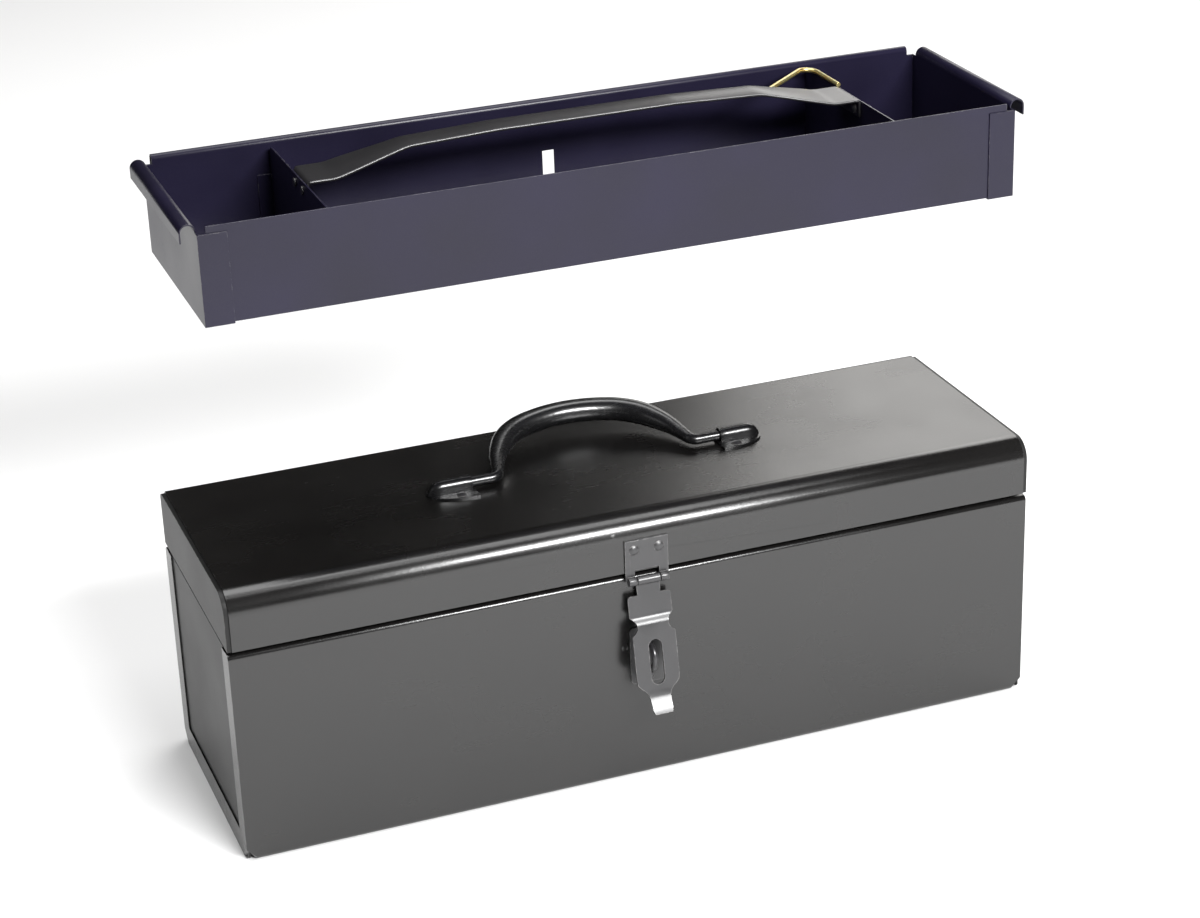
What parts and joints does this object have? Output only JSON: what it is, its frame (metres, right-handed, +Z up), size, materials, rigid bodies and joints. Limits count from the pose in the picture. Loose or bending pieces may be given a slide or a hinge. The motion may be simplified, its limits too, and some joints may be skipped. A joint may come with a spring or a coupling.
{
  "type": "toolbox with tray",
  "caption": "Long sheet-steel toolbox with a hinged lid, bail carry handle, hasp and staple, and a lift-out tote tray with dividers and a strap handle.",
  "frame": {"origin": "centre of the case's underside", "axes": "+X along the box to its right end, -Y to the front with the hasp, +Z up"},
  "size_m": [0.4834, 0.1786, 0.3795],
  "materials": {
    "box_sheet": "satin black powder coat",
    "end_sheet": "satin black powder coat",
    "hardware": "satin black paint, worn on its edges",
    "pin_steel": "black painted wire, rubbed bright in places",
    "rivet": "painted over with the sheet",
    "handle_gloss": "gloss black paint",
    "tray_sheet": "satin blue-black powder coat",
    "tray_strap": "satin black powder coat",
    "zinc_wire": "yellow passivated steel wire"
  },
  "bodies": {
    "case": {"case_wrap": "box_sheet", "case_end_left": "end_sheet", "case_end_right": "end_sheet", "case_hinge_leaf_left": "hardware", "case_hinge_leaf_right": "hardware", "case_hinge_rivets": "rivet", "hinge_pin_left": "pin_steel", "hinge_pin_right": "pin_steel", "staple": "pin_steel", "staple_plate": "hardware", "staple_rivets": "rivet"},
    "lid": {"lid_wrap": "box_sheet", "lid_end_left": "end_sheet", "lid_end_right": "end_sheet", "lid_hinge_leaf_left": "hardware", "lid_hinge_leaf_right": "hardware", "lid_hinge_rivets": "rivet", "handle_clip_left": "handle_gloss", "handle_clip_right": "handle_gloss", "handle_clip_rivets": "rivet", "hasp_leaf": "hardware", "hasp_leaf_rivets": "rivet", "hasp_pin": "pin_steel"},
    "handle": {"handle_grip": "handle_gloss"},
    "hasp": {"hasp_strap": "hardware"},
    "tray": {"tray_shell": "tray_sheet", "tray_end_left": "tray_sheet", "tray_end_right": "tray_sheet", "tray_divider_left": "tray_sheet", "tray_divider_right": "tray_sheet", "tray_strap_handle": "tray_strap", "tray_strap_rivets": "rivet", "tray_wire_brace": "zinc_wire"}
  },
  "joints": [
    {"name": "lid_hinge", "type": "hinge", "parent": "case", "child": "lid", "pos_m": [0, 0.0777, 0.13025], "axis": [-1, 0, 0], "range_deg": [0, 95]},
    {"name": "handle_pivot", "type": "hinge", "parent": "lid", "child": "handle", "pos_m": [0, 0, 0.16926], "axis": [1, 0, 0], "range_deg": [-5, 165]},
    {"name": "hasp_pivot", "type": "hinge", "parent": "lid", "child": "hasp", "pos_m": [0, -0.0786, 0.127], "axis": [-1, 0, 0], "range_deg": [-11, 150]},
    {"name": "tray_lift", "type": "slide", "parent": "case", "child": "tray", "axis": [0, 0, 1], "range_m": [0, 0.1]}
  ]
}
